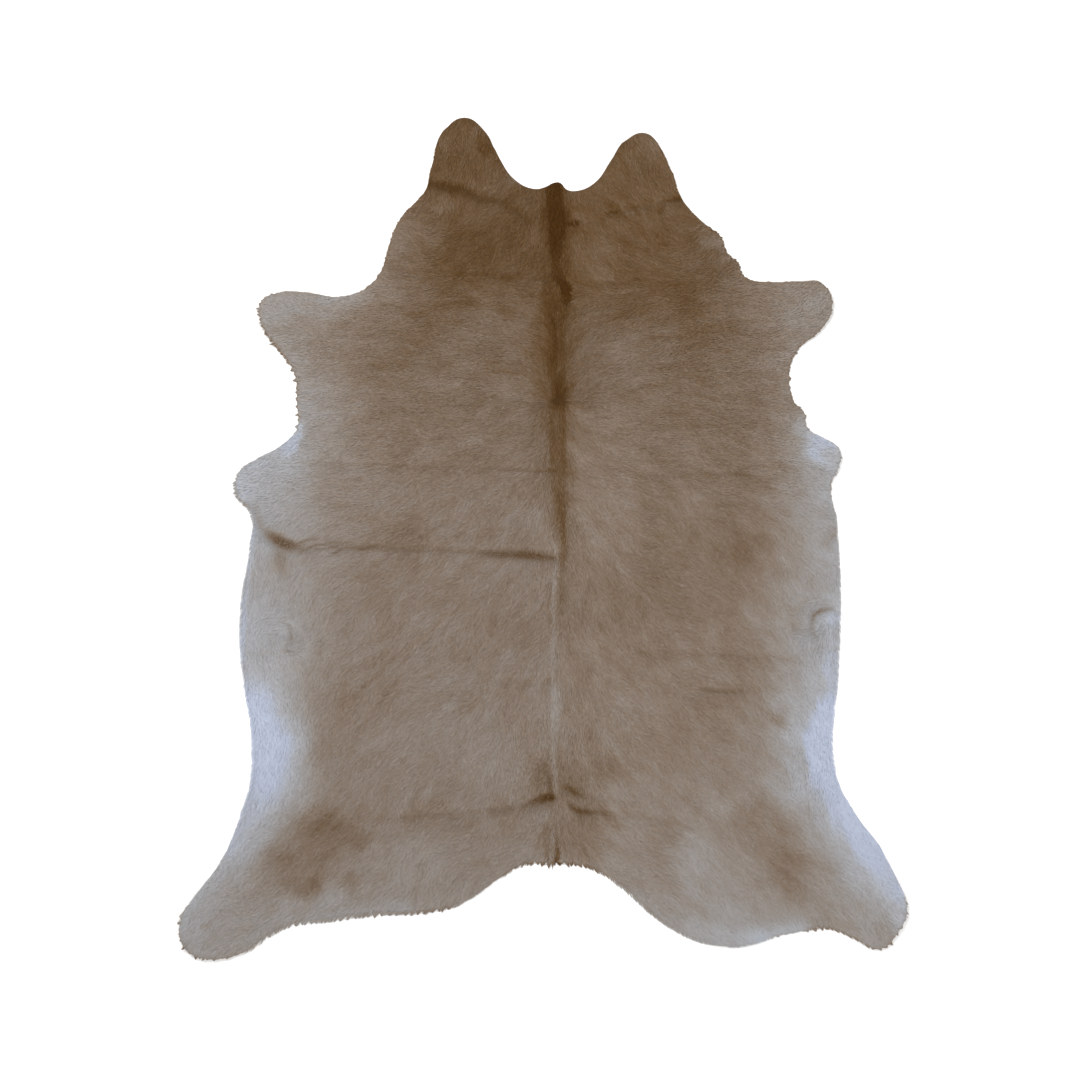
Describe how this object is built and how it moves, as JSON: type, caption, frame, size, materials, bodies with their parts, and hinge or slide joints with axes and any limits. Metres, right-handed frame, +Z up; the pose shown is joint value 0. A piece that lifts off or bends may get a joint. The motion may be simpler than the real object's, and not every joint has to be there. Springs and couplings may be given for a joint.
{
  "type": "hair-on leather hide",
  "caption": "Whole cattle hide tanned with its short hair on, trimmed to its natural outline and laid flat, hair side up, as a floor rug or throw.",
  "frame": {"origin": "middle of the hide's bounding box, on the surface that it lies on", "axes": "+Y along the spine towards the neck, +X towards the right-hand side seen from above, +Z up, out of the hair side"},
  "size_m": [1.8186, 2.1034, 0.0159],
  "materials": {
    "hide": "short lying hair, matt, light brown with a dark dorsal stripe and pale belly edges"
  },
  "bodies": {
    "root": {"hide": "hide"}
  },
  "joints": []
}
